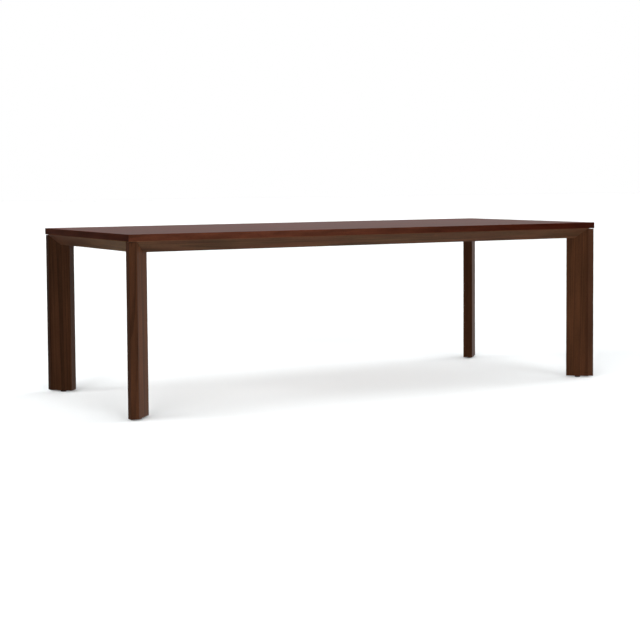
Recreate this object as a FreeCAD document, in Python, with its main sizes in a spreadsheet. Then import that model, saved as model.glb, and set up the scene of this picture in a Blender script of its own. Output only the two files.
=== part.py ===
"""Parsons dining table: a veneered top on an undercut apron frame, with four diagonal blade legs.

Frame: millimetres, origin on the floor under the middle of the top, +X along the table, +Y from its
front side to its back, +Z up. A leg and what belongs to it is drawn in the leg's own frame, with +X
running from the leg's outer tip along the corner's diagonal, and is then turned into each corner.
"""
import FreeCAD
import Part
import os
import Sketcher

doc = FreeCAD.newDocument("parsons_dining_table")
sheet = doc.addObject("Spreadsheet::Sheet", "Sizes")

# Driving dimensions in millimetres
SIZES = [
    ("table_length", 2438, "Top, along X"),
    ("table_width", 1016, "Top, along Y"),
    ("table_height", 762, "Floor to the face of the top"),
    ("core_thickness", 27, "Core board of the top"),
    ("veneer_thickness", 1, "Face and backing veneers"),
    ("veneer_arris", 0.6, "Rounding of the veneers' outer edges"),
    ("lipping_width", 12, "Solid edge round the core"),
    ("frame_inset", 2, "Edge of the top to the aprons and the leg tips"),
    ("leg_thickness", 48, "Blade, across its parallel sides"),
    ("leg_depth", 130, "Blade, from its tip to its inner end"),
    ("leg_edge_radius", 1, "Rounding of the blade's upright and lower edges"),
    ("reveal_height", 2.5, "Gap between the leg tip and the top"),
    ("apron_height", 47, "Apron below the top"),
    ("apron_land", 2, "Upright strip of the apron above its undercut"),
    ("apron_edge_radius", 1, "Rounding of the apron's lower edges"),
    ("apron_screw_margin", 148, "Outermost screw of an apron to the end of its inner face"),
    ("mitre_gap", 0.6, "Joint line between an apron's end and the leg's side"),
    ("rail_width", 45, "Cross rail, along X"),
    ("rail_height", 36, "Cross rail, below the top"),
    ("rail_spacing", 720, "Between the cross rails"),
    ("rail_screw_spacing", 560, "Between the two screws of a cross rail"),
    ("dowel_diameter", 10, "Dowels of the cross rails"),
    ("dowel_length", 40, "Dowel, half in the rail and half in the apron"),
    ("dowel_spacing", 22, "Between the two dowels of a rail's end"),
    ("block_depth", 42, "Corner block, along the diagonal"),
    ("block_height", 36, "Corner block, below the top"),
    ("block_screw_spacing", 60, "Between the two screws of a corner block"),
    ("screw_diameter", 4.5, "Shank of a screw into the top"),
    ("screw_grip", 26, "Wood between the screw's head and the top"),
    ("screw_bite", 18, "Length of the screw inside the top"),
    ("screw_head_diameter", 9, "Pan head of the screw"),
    ("screw_head_height", 3, "Pan head of the screw"),
    ("screw_head_room", 1, "Room round the screw's head in its recess"),
    ("bolt_diameter", 8, "Hanger bolt"),
    ("bolt_bite", 45, "Length of the hanger bolt inside the leg"),
    ("bolt_spacing", 18, "Between the upper and lower bolt of a leg"),
    ("bolt_room", 0.5, "Room round the bolt in the corner block"),
    ("bolt_tail", 3, "Bolt beyond its nut"),
    ("washer_diameter", 16, "Washer of the hanger bolt"),
    ("washer_thickness", 1.6, "Washer of the hanger bolt"),
    ("nut_width", 13, "Hexagon nut, across its flats"),
    ("nut_thickness", 6.5, "Hexagon nut"),
    ("pad_diameter", 26, "Glide pad on the floor"),
    ("pad_thickness", 2.5, "Glide pad on the floor"),
    ("base_diameter", 28, "Glide base, turned by hand"),
    ("base_thickness", 5, "Glide base, turned by hand"),
    ("base_edge_radius", 1, "Rounding of the glide base's upper edge"),
    ("glide_gap", 0.3, "Between the glide base and the leg, fully screwed in"),
    ("stem_diameter", 8, "Glide stem"),
    ("stem_length", 30, "Glide stem above its base"),
    ("stem_bevel", 1, "Bevel at the stem's upper end"),
    ("stem_room", 0.5, "Room round and above the stem in the leg"),
    ("pivot_diameter", 5, "Pin of the stem that turns in the pad"),
    ("pivot_length", 1.5, "Pin of the stem that turns in the pad"),
    ("insert_diameter", 12, "Threaded insert in the leg's lower end"),
    ("insert_length", 15, "Threaded insert, flange included"),
    ("flange_diameter", 18, "Flange of the threaded insert"),
    ("flange_thickness", 1.5, "Flange of the threaded insert"),
    ("fit", 0.05, "Radial clearance of dowels, screws, bolts, inserts and stems"),
    ("overrun", 1, "How far a cut starts outside its piece"),
]
for row, (alias, millimetres, meaning) in enumerate(SIZES, start=1):
    sheet.set(f"A{row}", meaning)
    sheet.set(f"B{row}", str(millimetres))
    sheet.setAlias(f"B{row}", alias)
doc.recompute()

# Lengths that follow from the driving ones
half_length = "Sizes.table_length / 2"
half_width = "Sizes.table_width / 2"
top_thickness = "(Sizes.core_thickness + 2 * Sizes.veneer_thickness)"
underside = f"(Sizes.table_height - {top_thickness})"
leg_side = "(Sizes.leg_thickness / 2)"
leg_flat = "(Sizes.leg_thickness / sqrt(2))"
leg_foot = "(Sizes.pad_thickness + Sizes.base_thickness + Sizes.glide_gap)"
leg_height = f"({underside} - {leg_foot})"
glide_place = f"((Sizes.leg_depth + {leg_side}) / 2)"
apron_width = f"((Sizes.leg_depth - {leg_side}) / sqrt(2))"
apron_undercut = "(Sizes.apron_height - Sizes.apron_land)"
apron_screw_depth = f"(({apron_undercut} + {apron_width}) / 2)"
rail_length = f"(Sizes.table_width - 2 * Sizes.frame_inset - 2 * {apron_width})"
block_front = "Sizes.leg_depth"
block_back = "(Sizes.leg_depth + Sizes.block_depth)"
pilot_diameter = "(Sizes.screw_diameter + 2 * Sizes.fit)"
recess_diameter = "(Sizes.screw_head_diameter + 2 * Sizes.screw_head_room)"

# Sides and corners of the table: name, the way out from the middle, turn of the piece's own frame
SIDES = [("front", 0, -1, 0), ("right", 1, 0, 90), ("back", 0, 1, 180), ("left", -1, 0, 270)]
CORNERS = [("front_left", -1, -1, 45), ("front_right", 1, -1, 135),
           ("back_right", 1, 1, 225), ("back_left", -1, 1, 315)]
RAILS = [("left", -1), ("middle", 0), ("right", 1)]
long_screw_shares = (-1, -0.6, -0.2, 0.2, 0.6, 1)
end_screw_shares = (-1, 1)

START, END, CENTRE = 1, 2, 3
nodes = []


def size(expression):
    """Present value of an expression in the sheet's sizes."""
    return float(sheet.evalExpression(expression))


def new_body(label):
    """An empty body for one piece."""
    body = doc.addObject("PartDesign::Body", label)
    body.Label = label
    return body


def new_sketch(body, plane, offset="0"):
    """A sketch on one of the body's own planes, moved along the plane's normal."""
    sketch = body.newObject("Sketcher::SketchObject", f"{body.Label}_sketch")
    support = next(item for item in body.Origin.OriginFeatures if item.Role == plane)
    sketch.AttachmentSupport = [(support, "")]
    sketch.MapMode = "FlatFace"
    sketch.setExpression("AttachmentOffset.Base.z", offset)
    return sketch


def bind(sketch, constraint, expression):
    """Adds a dimension to the sketch and ties it to the sheet."""
    index = sketch.addConstraint(constraint)
    sketch.setExpression(f"Constraints[{index}]", expression)


def set_point(sketch, geometry, point, place):
    """Dimensions a point of the sketch from the sketch's origin."""
    for kind, expression in zip(("DistanceX", "DistanceY"), place):
        bind(sketch, Sketcher.Constraint(kind, geometry, point, size(expression)), expression)


def outline(sketch, corners):
    """Draws a closed outline of straight lines through corners given as expressions."""
    points = [FreeCAD.Vector(size(x), size(y), 0) for x, y in corners]
    first = sketch.GeometryCount
    count = len(points)
    for number in range(count):
        sketch.addGeometry(Part.LineSegment(points[number], points[(number + 1) % count]), False)
    for number, corner in enumerate(corners):
        before = first + (number - 1) % count
        sketch.addConstraint(Sketcher.Constraint("Coincident", before, END, first + number, START))
        set_point(sketch, first + number, START, corner)


def rectangle(sketch, half_x, half_y):
    """Draws a rectangle about the sketch's origin."""
    outline(sketch, [(f"-{half_x}", f"-{half_y}"), (half_x, f"-{half_y}"),
                     (half_x, half_y), (f"-{half_x}", half_y)])


def circles(sketch, places, diameter):
    """Draws a circle of one diameter at each place."""
    for place in places:
        middle = FreeCAD.Vector(size(place[0]), size(place[1]), 0)
        circle = Part.Circle(middle, FreeCAD.Vector(0, 0, 1), size(diameter) / 2)
        geometry = sketch.addGeometry(circle, False)
        set_point(sketch, geometry, CENTRE, place)
        bind(sketch, Sketcher.Constraint("Diameter", geometry, size(diameter)), diameter)


def pad(body, sketch, length, reverse=False):
    """Raises a sketch into a solid along its normal, or against it."""
    feature = body.newObject("PartDesign::Pad", f"{body.Label}_pad")
    feature.Profile = sketch
    feature.setExpression("Length", length)
    feature.Reversed = reverse
    doc.recompute()
    return feature


def pocket(body, sketch, depth, reverse=False, symmetric=False):
    """Cuts a sketch into the body against its normal, along it, or half each way."""
    before = body.Shape.Volume
    feature = body.newObject("PartDesign::Pocket", f"{body.Label}_pocket")
    feature.Profile = sketch
    feature.setExpression("Length", depth)
    feature.Reversed = reverse
    feature.SideType = "Symmetric" if symmetric else "One side"
    doc.recompute()
    if not body.Shape.Volume < before:
        raise ValueError(f"{body.Label}: a pocket cuts nothing")
    return feature


def turned(body, corners, axis="V_Axis"):
    """Revolves a half section, drawn upright, about one of its sketch's axes."""
    sketch = new_sketch(body, "XZ_Plane")
    outline(sketch, corners)
    feature = body.newObject("PartDesign::Revolution", f"{body.Label}_turning")
    feature.Profile = sketch
    feature.ReferenceAxis = (sketch, [axis])
    doc.recompute()
    return feature


def round_edges(body, feature, radius, wanted):
    """Rounds the edges of a feature that the test picks."""
    edges = enumerate(feature.Shape.Edges, start=1)
    fillet = body.newObject("PartDesign::Fillet", f"{body.Label}_rounding")
    fillet.Base = (feature, [f"Edge{number}" for number, edge in edges if wanted(edge)])
    fillet.setExpression("Radius", radius)
    doc.recompute()


def place(item, x, y, z, turn=0):
    """Puts a piece at a place tied to the sheet, turned about the upright axis by degrees."""
    item.Placement = FreeCAD.Placement(FreeCAD.Vector(), FreeCAD.Rotation(FreeCAD.Vector(0, 0, 1), turn))
    for axis, expression in zip("xyz", (x, y, z)):
        item.setExpression(f"Placement.Base.{axis}", expression)


def node(item):
    """Lists a finished piece for the parts folder."""
    nodes.append(item)
    return item


def copies(label, master, places):
    """One node of like pieces, linked to a master that is drawn once."""
    links = []
    for where in places:
        link = doc.addObject("App::Link", f"{label}_copy")
        link.LinkedObject = master
        place(link, *where)
        links.append(link)
    group = doc.addObject("Part::Compound", label)
    group.Label = label
    group.Links = links
    return node(group)


def corner_place(corner, height):
    """Where the tip of a corner's leg stands, and its turn, at a height above the floor."""
    name, out_x, out_y, turn = corner
    return (f"{out_x} * ({half_length} - Sizes.frame_inset)",
            f"{out_y} * ({half_width} - Sizes.frame_inset)", height, turn)


def mitred_bar(label, outer_length, width, height, reverse=False):
    """A straight bar with its outer face on X and both ends mitred at 45 degrees towards +Y."""
    body = new_body(label)
    plan = new_sketch(body, "XY_Plane")
    half = f"({outer_length}) / 2"
    outline(plan, [(f"-{half}", "0"), (half, "0"),
                   (f"{half} - {width}", width), (f"-{half} + {width}", width)])
    pad(body, plan, height, reverse)
    return body


def screw_holes(body, places, height):
    """Bores a piece that hangs below the top for screws, with a recess under each head."""
    shanks = new_sketch(body, "XY_Plane")
    circles(shanks, places, pilot_diameter)
    pocket(body, shanks, height)
    heads = new_sketch(body, "XY_Plane", f"-{height}")
    circles(heads, places, recess_diameter)
    pocket(body, heads, f"{height} - Sizes.screw_grip", reverse=True)


def runs_along(edge, direction):
    """Whether an edge is straight and parallel to a unit direction."""
    return isinstance(edge.Curve, Part.Line) and abs(round(edge.Curve.Direction.dot(direction), 6)) == 1


def apron_screws(overall, shares):
    """Places of an apron's screws along its length, between margins at the ends of its inner face."""
    reach = (f"({overall} / 2 - Sizes.frame_inset - {leg_flat} - {apron_width}"
             " - Sizes.apron_screw_margin)")
    return [f"{share} * {reach}" for share in shares]


# Screws into the top: their places on its underside
screw_places = []
for out_y in (-1, 1):
    y = f"{out_y} * ({half_width} - Sizes.frame_inset - {apron_screw_depth})"
    screw_places += [(x, y) for x in apron_screws("Sizes.table_length", long_screw_shares)]
for out_x in (-1, 1):
    x = f"{out_x} * ({half_length} - Sizes.frame_inset - {apron_screw_depth})"
    screw_places += [(x, y) for y in apron_screws("Sizes.table_width", end_screw_shares)]
for name, step in RAILS:
    screw_places += [(f"{step} * Sizes.rail_spacing", f"{out_y} * Sizes.rail_screw_spacing / 2")
                     for out_y in (-1, 1)]
block_middle = f"({block_front} + Sizes.block_depth / 2)"
for name, out_x, out_y, turn in CORNERS:
    for hand in (-1, 1):
        along = f"({block_middle} - {hand} * Sizes.block_screw_spacing / 2) / sqrt(2)"
        across = f"({block_middle} + {hand} * Sizes.block_screw_spacing / 2) / sqrt(2)"
        screw_places.append((f"{out_x} * ({half_length} - Sizes.frame_inset - {along})",
                             f"{out_y} * ({half_width} - Sizes.frame_inset - {across})"))

# Top: core board, four mitred lippings and two veneers
core_floor = f"({underside} + Sizes.veneer_thickness)"
core = new_body("top_core")
core_plan = new_sketch(core, "XY_Plane", core_floor)
rectangle(core_plan, f"({half_length} - Sizes.lipping_width)", f"({half_width} - Sizes.lipping_width)")
pad(core, core_plan, "Sizes.core_thickness")
core_pilots = new_sketch(core, "XY_Plane", core_floor)
circles(core_pilots, screw_places, pilot_diameter)
pocket(core, core_pilots, "Sizes.screw_bite - Sizes.veneer_thickness", reverse=True)
node(core)

for name, out_x, out_y, turn in SIDES:
    length = "Sizes.table_length" if out_y else "Sizes.table_width"
    lipping = mitred_bar(f"top_lipping_{name}", length, "Sizes.lipping_width", "Sizes.core_thickness")
    place(lipping, f"{out_x} * {half_length}", f"{out_y} * {half_width}", core_floor, turn)
    node(lipping)

for label, floor, bored in (("top_face_veneer", f"({core_floor} + Sizes.core_thickness)", False),
                            ("top_backing_veneer", underside, True)):
    veneer = new_body(label)
    veneer_plan = new_sketch(veneer, "XY_Plane", floor)
    rectangle(veneer_plan, half_length, half_width)
    if bored:
        circles(veneer_plan, screw_places, pilot_diameter)
    sheet_of_veneer = pad(veneer, veneer_plan, "Sizes.veneer_thickness")
    box = sheet_of_veneer.Shape.BoundBox
    outer_level = box.ZMin if bored else box.ZMax
    round_edges(veneer, sheet_of_veneer, "Sizes.veneer_arris",
                lambda edge: isinstance(edge.Curve, Part.Line)
                and edge.BoundBox.ZMin > outer_level - box.ZLength / 2
                and edge.BoundBox.ZMax < outer_level + box.ZLength / 2)
    node(veneer)

# Aprons: undercut at 45 degrees below a narrow land, with their ends mitred to the legs' sides
dowel_level = "-Sizes.rail_height / 2"
dowel_hole = "Sizes.dowel_diameter + 2 * Sizes.fit"
rail_dowels = [f"{hand} * Sizes.dowel_spacing / 2" for hand in (-1, 1)]
for name, out_x, out_y, turn in SIDES:
    overall = "Sizes.table_length" if out_y else "Sizes.table_width"
    length = f"{overall} - 2 * (Sizes.frame_inset + {leg_flat} + sqrt(2) * Sizes.mitre_gap)"
    apron = mitred_bar(f"apron_{name}", length, apron_width, "Sizes.apron_height", reverse=True)
    # The undercut's triangle is drawn larger than the waste, along the same slope
    undercut = new_sketch(apron, "YZ_Plane")
    outline(undercut, [("-Sizes.overrun", "-Sizes.apron_land + Sizes.overrun"),
                       ("-Sizes.overrun", "-Sizes.apron_height - Sizes.overrun"),
                       (f"{apron_undercut} + Sizes.overrun", "-Sizes.apron_height - Sizes.overrun")])
    undercut_pocket = pocket(apron, undercut, overall, symmetric=True)
    lowest = undercut_pocket.Shape.BoundBox.ZMin
    round_edges(apron, undercut_pocket, "Sizes.apron_edge_radius",
                lambda edge: runs_along(edge, FreeCAD.Vector(1, 0, 0))
                and edge.BoundBox.ZMax < lowest + size("Sizes.apron_land"))
    screws = apron_screws(overall, long_screw_shares if out_y else end_screw_shares)
    screw_holes(apron, [(x, apron_screw_depth) for x in screws], "Sizes.apron_height")
    if out_y:
        dowels = [(f"{step} * Sizes.rail_spacing + {hand}", dowel_level)
                  for label, step in RAILS for hand in rail_dowels]
        sockets = new_sketch(apron, "XZ_Plane", f"-{apron_width}")
        circles(sockets, dowels, dowel_hole)
        pocket(apron, sockets, "Sizes.dowel_length / 2", reverse=True)
    place(apron, f"{out_x} * ({half_length} - Sizes.frame_inset)",
          f"{out_y} * ({half_width} - Sizes.frame_inset)", underside, turn)
    node(apron)

# Cross rails: straight bars between the long aprons, dowelled at their ends
for name, step in RAILS:
    rail = new_body(f"cross_rail_{name}")
    rail_plan = new_sketch(rail, "XY_Plane")
    rectangle(rail_plan, "Sizes.rail_width / 2", f"{rail_length} / 2")
    pad(rail, rail_plan, "Sizes.rail_height", reverse=True)
    for end, back_end in ((f"{rail_length} / 2", False), (f"-{rail_length} / 2", True)):
        sockets = new_sketch(rail, "XZ_Plane", end)
        circles(sockets, [(hand, dowel_level) for hand in rail_dowels], dowel_hole)
        pocket(rail, sockets, "Sizes.dowel_length / 2", reverse=back_end)
    screw_holes(rail, [("0", f"{hand} * Sizes.rail_screw_spacing / 2") for hand in (-1, 1)],
                "Sizes.rail_height")
    place(rail, f"{step} * Sizes.rail_spacing", "0", underside)
    node(rail)

dowel = new_body("dowel")
dowel_round = new_sketch(dowel, "XZ_Plane", "-Sizes.dowel_length / 2")
circles(dowel_round, [("0", "0")], "Sizes.dowel_diameter")
pad(dowel, dowel_round, "Sizes.dowel_length")
copies("rail_dowels", dowel,
       [(f"{step} * Sizes.rail_spacing + {hand}", f"{out_y} * {rail_length} / 2",
         f"{underside} + {dowel_level}")
        for label, step in RAILS for hand in rail_dowels for out_y in (-1, 1)])

# Legs: a blade with a right-angled tip, stepped down under the corner of the top
bolt_levels = [f"(-Sizes.block_height / 2 + {hand} * Sizes.bolt_spacing / 2)" for hand in (-1, 1)]
leg = new_body("leg")
leg_plan = new_sketch(leg, "XY_Plane")
outline(leg_plan, [("0", "0"), (leg_side, f"-{leg_side}"), ("Sizes.leg_depth", f"-{leg_side}"),
                   ("Sizes.leg_depth", leg_side), (leg_side, leg_side)])
blade = pad(leg, leg_plan, leg_height)
round_edges(leg, blade, "Sizes.leg_edge_radius", lambda edge: runs_along(edge, FreeCAD.Vector(0, 0, 1))
            or edge.BoundBox.ZMax < size("Sizes.leg_edge_radius"))
reveal = new_sketch(leg, "XY_Plane", leg_height)
beyond_side = f"({leg_side} + Sizes.overrun)"
outline(reveal, [("-Sizes.overrun", f"-{beyond_side}"), (leg_side, f"-{beyond_side}"),
                 (leg_side, beyond_side), ("-Sizes.overrun", beyond_side)])
pocket(leg, reveal, "Sizes.reveal_height")
bolt_bores = new_sketch(leg, "YZ_Plane", "Sizes.leg_depth")
circles(bolt_bores, [("0", f"{leg_height} + {level}") for level in bolt_levels],
        "Sizes.bolt_diameter + 2 * Sizes.fit")
pocket(leg, bolt_bores, "Sizes.bolt_bite")
for diameter, depth in (
        ("Sizes.flange_diameter + 2 * Sizes.fit", "Sizes.flange_thickness"),
        ("Sizes.insert_diameter + 2 * Sizes.fit", "Sizes.insert_length"),
        ("Sizes.stem_diameter + 2 * Sizes.stem_room",
         "Sizes.stem_length - Sizes.glide_gap + Sizes.stem_room")):
    glide_bore = new_sketch(leg, "XY_Plane")
    circles(glide_bore, [(glide_place, "0")], diameter)
    pocket(leg, glide_bore, depth, reverse=True)
for corner in CORNERS:
    copies(f"leg_{corner[0]}", leg, [corner_place(corner, leg_foot)])

# Corner blocks: they fill the angle between the aprons behind the leg, and take its bolts
block = new_body("corner_block")
block_plan = new_sketch(block, "XY_Plane")
block_spread = f"({leg_side} + Sizes.block_depth)"
outline(block_plan, [(block_front, f"-{leg_side}"), (block_back, f"-{block_spread}"),
                     (block_back, block_spread), (block_front, leg_side)])
pad(block, block_plan, "Sizes.block_height", reverse=True)
block_bores = new_sketch(block, "YZ_Plane", block_back)
circles(block_bores, [("0", level) for level in bolt_levels], "Sizes.bolt_diameter + 2 * Sizes.bolt_room")
pocket(block, block_bores, "Sizes.block_depth")
screw_holes(block, [(block_middle, f"{hand} * Sizes.block_screw_spacing / 2") for hand in (-1, 1)],
            "Sizes.block_height")
for corner in CORNERS:
    copies(f"corner_block_{corner[0]}", block, [corner_place(corner, underside)])

# Screws into the top: one pan-headed screw for every place, drawn below the underside
screw = new_body("screw")
turned(screw, [("0", "-Sizes.screw_grip - Sizes.screw_head_height"),
               ("Sizes.screw_head_diameter / 2", "-Sizes.screw_grip - Sizes.screw_head_height"),
               ("Sizes.screw_head_diameter / 2", "-Sizes.screw_grip"),
               ("Sizes.screw_diameter / 2", "-Sizes.screw_grip"),
               ("Sizes.screw_diameter / 2", "Sizes.screw_bite - Sizes.screw_diameter / 2"),
               ("0", "Sizes.screw_bite")])
copies("top_screws", screw, [(x, y, underside) for x, y in screw_places])

# Hanger bolts with a washer and a nut each, two to a leg, in line with the leg's diagonal
washer_back = f"({block_back} + Sizes.washer_thickness)"
nut_back = f"({washer_back} + Sizes.nut_thickness)"
bolt_start = "(Sizes.leg_depth - Sizes.bolt_bite)"
bolt_end = f"({nut_back} + Sizes.bolt_tail)"
bolt = new_body("hanger_bolt")
turned(bolt, [(bolt_start, "0"), (bolt_end, "0"), (bolt_end, "Sizes.bolt_diameter / 2"),
              (bolt_start, "Sizes.bolt_diameter / 2")], axis="H_Axis")

washer = new_body("bolt_washer")
washer_round = new_sketch(washer, "YZ_Plane", block_back)
circles(washer_round, [("0", "0")], "Sizes.washer_diameter")
circles(washer_round, [("0", "0")], "Sizes.bolt_diameter + 2 * Sizes.fit")
pad(washer, washer_round, "Sizes.washer_thickness")

nut = new_body("bolt_nut")
nut_hexagon = new_sketch(nut, "YZ_Plane", washer_back)
point = "Sizes.nut_width / sqrt(3)"
flat = "Sizes.nut_width / 2"
outline(nut_hexagon, [(point, "0"), (f"{point} / 2", flat), (f"-{point} / 2", flat),
                      (f"-{point}", "0"), (f"-{point} / 2", f"-{flat}"), (f"{point} / 2", f"-{flat}")])
circles(nut_hexagon, [("0", "0")], "Sizes.bolt_diameter + 2 * Sizes.fit")
pad(nut, nut_hexagon, "Sizes.nut_thickness")

bolt_places = [corner_place(corner, f"{underside} + {level}") for corner in CORNERS for level in bolt_levels]
copies("hanger_bolts", bolt, bolt_places)
copies("bolt_washers", washer, bolt_places)
copies("bolt_nuts", nut, bolt_places)

# Glides: an insert in the leg, a base that is turned on its stem, and a pad that stays on the floor
glide_floor = "Sizes.pad_thickness"
base_top = "(Sizes.pad_thickness + Sizes.base_thickness)"
stem_bore = "(Sizes.stem_diameter / 2 + Sizes.fit)"
stem_top = f"({base_top} + Sizes.stem_length)"
insert = new_body("glide_insert")
turned(insert, [(stem_bore, "0"), ("Sizes.flange_diameter / 2", "0"),
                ("Sizes.flange_diameter / 2", "Sizes.flange_thickness"),
                ("Sizes.insert_diameter / 2", "Sizes.flange_thickness"),
                ("Sizes.insert_diameter / 2", "Sizes.insert_length"), (stem_bore, "Sizes.insert_length")])

base = new_body("glide_base")
base_turning = turned(base, [(stem_bore, glide_floor), ("Sizes.base_diameter / 2", glide_floor),
                             ("Sizes.base_diameter / 2", base_top), (stem_bore, base_top)])
rim = max(base_turning.Shape.Edges, key=lambda edge: (edge.BoundBox.ZMin, edge.Length))
round_edges(base, base_turning, "Sizes.base_edge_radius", rim.isSame)

stem = new_body("glide_stem")
turned(stem, [("0", f"{glide_floor} - Sizes.pivot_length"),
              ("Sizes.pivot_diameter / 2", f"{glide_floor} - Sizes.pivot_length"),
              ("Sizes.pivot_diameter / 2", glide_floor), ("Sizes.stem_diameter / 2", glide_floor),
              ("Sizes.stem_diameter / 2", f"{stem_top} - Sizes.stem_bevel"),
              ("Sizes.stem_diameter / 2 - Sizes.stem_bevel", stem_top), ("0", stem_top)])

pad_disc = new_body("glide_pad")
pivot_floor = f"({glide_floor} - Sizes.pivot_length - Sizes.fit)"
pivot_bore = "(Sizes.pivot_diameter / 2 + Sizes.fit)"
turned(pad_disc, [("0", "0"), ("Sizes.pad_diameter / 2", "0"), ("Sizes.pad_diameter / 2", glide_floor),
                  (pivot_bore, glide_floor), (pivot_bore, pivot_floor), ("0", pivot_floor)])


def glide_spot(corner, height):
    """The middle of a corner's leg, where its glide is, at a height above the floor."""
    x, y, z, turn = corner_place(corner, height)
    name, out_x, out_y, turn = corner
    inwards = f"{glide_place} / sqrt(2)"
    return f"{x} - {out_x} * {inwards}", f"{y} - {out_y} * {inwards}", z, turn


copies("glide_inserts", insert, [glide_spot(corner, leg_foot) for corner in CORNERS])
for corner in CORNERS:
    for label, master in (("glide_stem", stem), ("glide_base", base), ("glide_pad", pad_disc)):
        copies(f"{label}_{corner[0]}", master, [glide_spot(corner, "0")])

# Check every piece, then write one file for each node
doc.recompute()
for item in doc.Objects:
    if "Invalid" in item.State or "Error" in item.State:
        raise ValueError(f"{item.Label} failed to compute")
for item in nodes:
    if item.Shape.isNull() or not item.Shape.isValid():
        raise ValueError(f"{item.Label} has no valid shape")

os.makedirs("parts", exist_ok=True)
for item in nodes:
    item.Shape.exportStep(f"parts/{item.Label}.step")
print(f"{len(nodes)} nodes written")
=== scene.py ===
"""Parsons dining table: finishes and fasteners for a veneered top, undercut aprons and blade legs.

Metres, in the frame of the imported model: +X along the table, +Y from its front to its back, +Z up.
"""
import bmesh
import bpy
import math
from mathutils import Matrix, Vector


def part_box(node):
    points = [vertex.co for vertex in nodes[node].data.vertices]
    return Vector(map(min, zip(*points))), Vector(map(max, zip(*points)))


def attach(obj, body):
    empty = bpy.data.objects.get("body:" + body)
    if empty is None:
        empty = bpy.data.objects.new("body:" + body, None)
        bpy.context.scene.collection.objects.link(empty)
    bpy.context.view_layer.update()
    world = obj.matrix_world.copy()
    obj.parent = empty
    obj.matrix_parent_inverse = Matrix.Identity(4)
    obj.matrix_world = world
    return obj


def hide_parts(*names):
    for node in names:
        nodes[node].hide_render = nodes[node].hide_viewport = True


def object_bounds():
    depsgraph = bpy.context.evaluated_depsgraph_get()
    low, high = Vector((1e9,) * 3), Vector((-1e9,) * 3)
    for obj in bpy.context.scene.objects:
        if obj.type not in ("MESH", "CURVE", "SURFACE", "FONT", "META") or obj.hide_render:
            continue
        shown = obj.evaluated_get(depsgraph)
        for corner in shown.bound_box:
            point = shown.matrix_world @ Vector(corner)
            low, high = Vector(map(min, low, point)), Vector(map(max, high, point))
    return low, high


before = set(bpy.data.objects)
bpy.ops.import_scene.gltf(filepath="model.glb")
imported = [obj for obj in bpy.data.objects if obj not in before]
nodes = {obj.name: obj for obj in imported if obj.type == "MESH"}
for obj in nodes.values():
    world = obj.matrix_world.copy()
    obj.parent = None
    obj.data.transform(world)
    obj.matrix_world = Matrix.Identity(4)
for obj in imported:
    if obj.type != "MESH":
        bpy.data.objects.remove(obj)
cad_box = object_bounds()


# Core board of the top: fibreboard, pressed from wood fibre and sanded flat.
# It is glued between the lippings and under the veneers, so it shows only when the table is taken apart.
def linear(colour):
    """The linear colour of an sRGB hex value, as shader sockets take it."""
    shares = [int(colour[place:place + 2], 16) / 255 for place in (1, 3, 5)]
    return [share / 12.92 if share < 0.04045 else ((share + 0.055) / 1.055) ** 2.4
            for share in shares] + [1]


def add_node(finish, kind, sockets, **settings):
    """Adds a node to a finish, makes its settings, and fills or links its sockets.

    Sockets that share a name go by number: a mix has plain values at 2 and 3, and colours at 6 and 7.
    """
    node = finish.node_tree.nodes.new(kind)
    for setting, value in settings.items():
        setattr(node, setting, value)
    for socket, value in sockets.items():
        if isinstance(value, bpy.types.NodeSocket):
            finish.node_tree.links.new(value, node.inputs[socket])
        else:
            node.inputs[socket].default_value = value
    return node


def new_finish(name):
    """A new finish, with its surface shader and the place of each point on the piece."""
    finish = bpy.data.materials.new(name)
    finish.use_nodes = True
    surface = finish.node_tree.nodes["Principled BSDF"]
    return finish, surface, add_node(finish, "ShaderNodeTexCoord", {}).outputs["Object"]


def coat(finish, surface, sockets):
    """Links a finish's colour, sheen and relief to its surface shader."""
    for socket, value in sockets.items():
        finish.node_tree.links.new(value, surface.inputs[socket])


def dress(finish, *names):
    """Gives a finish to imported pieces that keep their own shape."""
    for name in names:
        for slot in nodes[name].material_slots:
            slot.material = finish


# Sanded fibreboard: an even, felted brown with paler fibre ends, dull all over
fibreboard, surface, place = new_finish("sanded_fibreboard")
fibre_clump = 0.0016
felt_height = 0.00005
clumps = add_node(fibreboard, "ShaderNodeTexNoise",
                  {"Vector": place, "Scale": 1 / fibre_clump, "Detail": 4}).outputs["Fac"]
felt = add_node(fibreboard, "ShaderNodeMix",
                {"Factor": clumps, 6: linear("#8A6A45"), 7: linear("#B69468")},
                data_type="RGBA").outputs[2]
felt_relief = add_node(fibreboard, "ShaderNodeBump",
                       {"Height": clumps, "Distance": felt_height}).outputs["Normal"]
surface.inputs["Roughness"].default_value = 0.85
coat(fibreboard, surface, {"Base Color": felt, "Normal": felt_relief})
dress(fibreboard, "top_core")


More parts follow.
